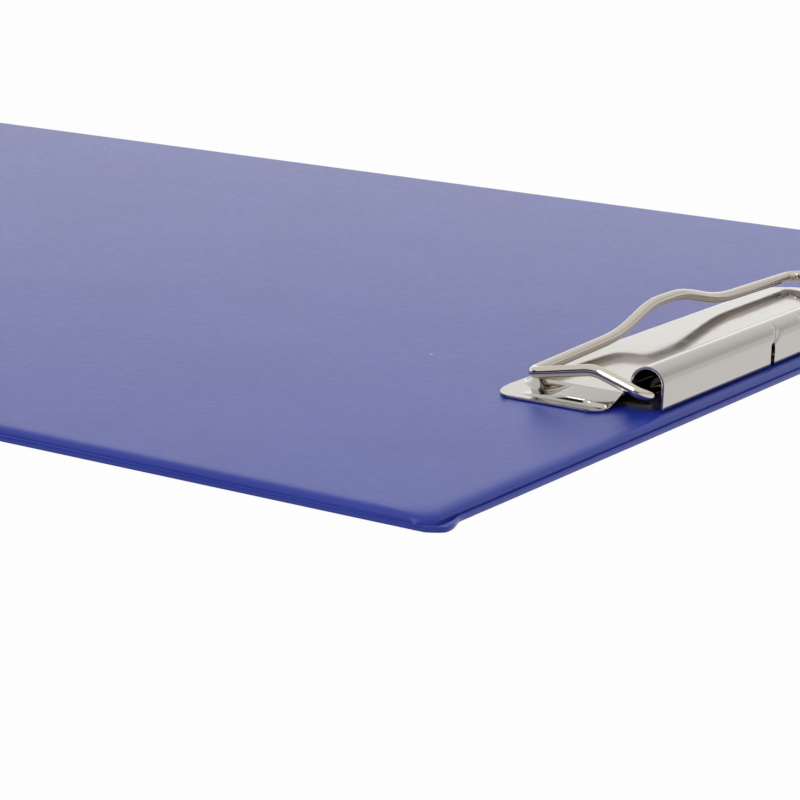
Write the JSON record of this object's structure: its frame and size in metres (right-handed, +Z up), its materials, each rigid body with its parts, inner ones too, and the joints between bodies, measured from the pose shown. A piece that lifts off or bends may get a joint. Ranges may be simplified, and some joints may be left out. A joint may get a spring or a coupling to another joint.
{
  "type": "clipboard",
  "caption": "Thin film-covered clipboard with a welded rim and a sprung sheet-metal clip that lifts when its wire bail is swung up.",
  "frame": {"origin": "middle of the board's underside", "axes": "+Y along the board towards the clip, +X across it, +Z up out of the writing face"},
  "size_m": [0.23, 0.32, 0.0097],
  "materials": {
    "greyboard": "pressed grey cardboard",
    "cover_film": "royal blue vinyl film with a fine leather grain, satin",
    "nickel_plated_steel": "pressed sheet steel with bright nickel plating",
    "nickel_plated_wire": "drawn steel wire with bright nickel plating",
    "zinc_plated_steel": "zinc-plated sheet steel, dull",
    "spring_steel": "oiled spring wire",
    "rivet_nickel": "nickel-plated hollow rivet"
  },
  "bodies": {
    "board": {"board_core": "greyboard", "front_cover": "cover_film", "back_cover": "cover_film", "base_plate": "zinc_plated_steel", "hinge_pin": "zinc_plated_steel", "spring_left": "spring_steel", "spring_right": "spring_steel", "rivet_left": "rivet_nickel", "rivet_right": "rivet_nickel"},
    "jaw": {"jaw_plate": "nickel_plated_steel"},
    "bail": {"wire_bail": "nickel_plated_wire"}
  },
  "joints": [
    {"name": "bail_swing", "type": "hinge", "parent": "board", "child": "bail", "pos_m": [0, 0.155, 0.0047], "axis": [-1, 0, 0], "range_deg": [0, 100]},
    {"name": "jaw_lift", "type": "hinge", "parent": "board", "child": "jaw", "pos_m": [0, 0.1559, 0.0049], "axis": [-1, 0, 0], "range_deg": [0, 20], "deforming": ["spring_left", "spring_right"]}
  ],
  "couplings": [
    {"joint": "jaw_lift", "follows": "bail_swing", "ratio": 0.2}
  ]
}
